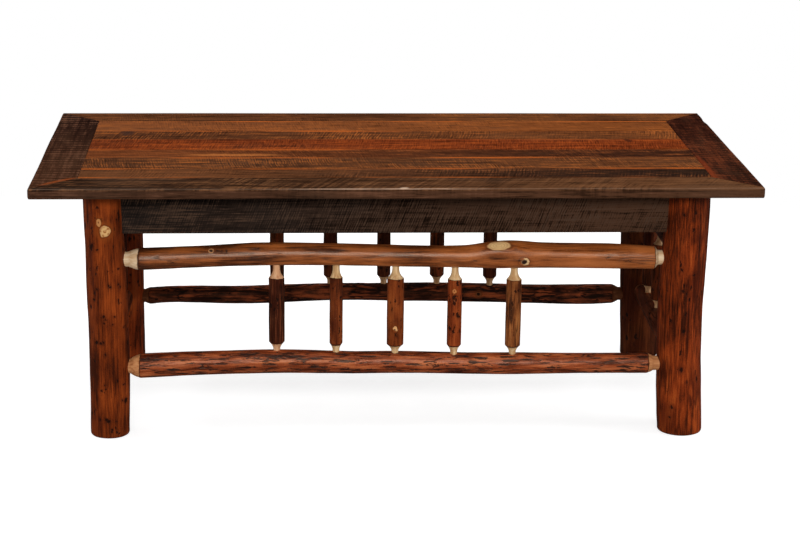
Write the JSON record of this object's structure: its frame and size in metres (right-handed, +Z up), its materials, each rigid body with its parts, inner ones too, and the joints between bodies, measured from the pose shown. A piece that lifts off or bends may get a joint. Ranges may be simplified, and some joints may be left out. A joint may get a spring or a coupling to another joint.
{
  "type": "rustic coffee table",
  "caption": "Low rustic table: mitred barnwood top on bowed hickory log legs, with saw-marked aprons, log rails and peeled-tenon spindles.",
  "frame": {"origin": "on the floor, below the middle of the top", "axes": "+X along the length of the top, +Y from the front towards the back, +Z up"},
  "size_m": [1.2192, 0.6096, 0.4572],
  "materials": {
    "barnwood_frame": "weathered barnwood under satin lacquer",
    "barnwood_field": "orange-brown barnwood with grey saw marks, satin lacquer",
    "barnwood_apron": "dark saw-marked barnwood, low sheen",
    "hickory_leg": "red-brown hickory bark, satin lacquer",
    "hickory_rail": "red-brown hickory bark with pale peeled ends, satin lacquer",
    "hickory_spindle": "red-brown hickory bark with pale peeled tenons, satin lacquer",
    "batten_pine": "plain planed softwood",
    "screw_steel": "dull zinc-plated steel"
  },
  "bodies": {
    "root": {"frame_board_front": "barnwood_frame", "frame_board_right": "barnwood_frame", "frame_board_back": "barnwood_frame", "frame_board_left": "barnwood_frame", "field_plank_1": "barnwood_field", "field_plank_2": "barnwood_field", "field_plank_3": "barnwood_field", "field_plank_4": "barnwood_field", "field_plank_5": "barnwood_field", "field_plank_6": "barnwood_field", "top_batten_1": "batten_pine", "top_batten_2": "batten_pine", "top_batten_3": "batten_pine", "batten_screws": "screw_steel", "front_left_leg": "hickory_leg", "front_right_leg": "hickory_leg", "back_left_leg": "hickory_leg", "back_right_leg": "hickory_leg", "front_apron": "barnwood_apron", "front_upper_rail": "hickory_rail", "front_lower_rail": "hickory_rail", "front_spindle_1": "hickory_spindle", "front_spindle_2": "hickory_spindle", "front_spindle_3": "hickory_spindle", "front_spindle_4": "hickory_spindle", "front_spindle_5": "hickory_spindle", "right_apron": "barnwood_apron", "right_upper_rail": "hickory_rail", "right_lower_rail": "hickory_rail", "right_spindle_1": "hickory_spindle", "right_spindle_2": "hickory_spindle", "right_spindle_3": "hickory_spindle", "back_apron": "barnwood_apron", "back_upper_rail": "hickory_rail", "back_lower_rail": "hickory_rail", "back_spindle_1": "hickory_spindle", "back_spindle_2": "hickory_spindle", "back_spindle_3": "hickory_spindle", "back_spindle_4": "hickory_spindle", "back_spindle_5": "hickory_spindle", "left_apron": "barnwood_apron", "left_upper_rail": "hickory_rail", "left_lower_rail": "hickory_rail", "left_spindle_1": "hickory_spindle", "left_spindle_2": "hickory_spindle", "left_spindle_3": "hickory_spindle", "front_left_brace": "batten_pine", "front_right_brace": "batten_pine", "back_right_brace": "batten_pine", "back_left_brace": "batten_pine", "brace_screws": "screw_steel"}
  },
  "joints": []
}
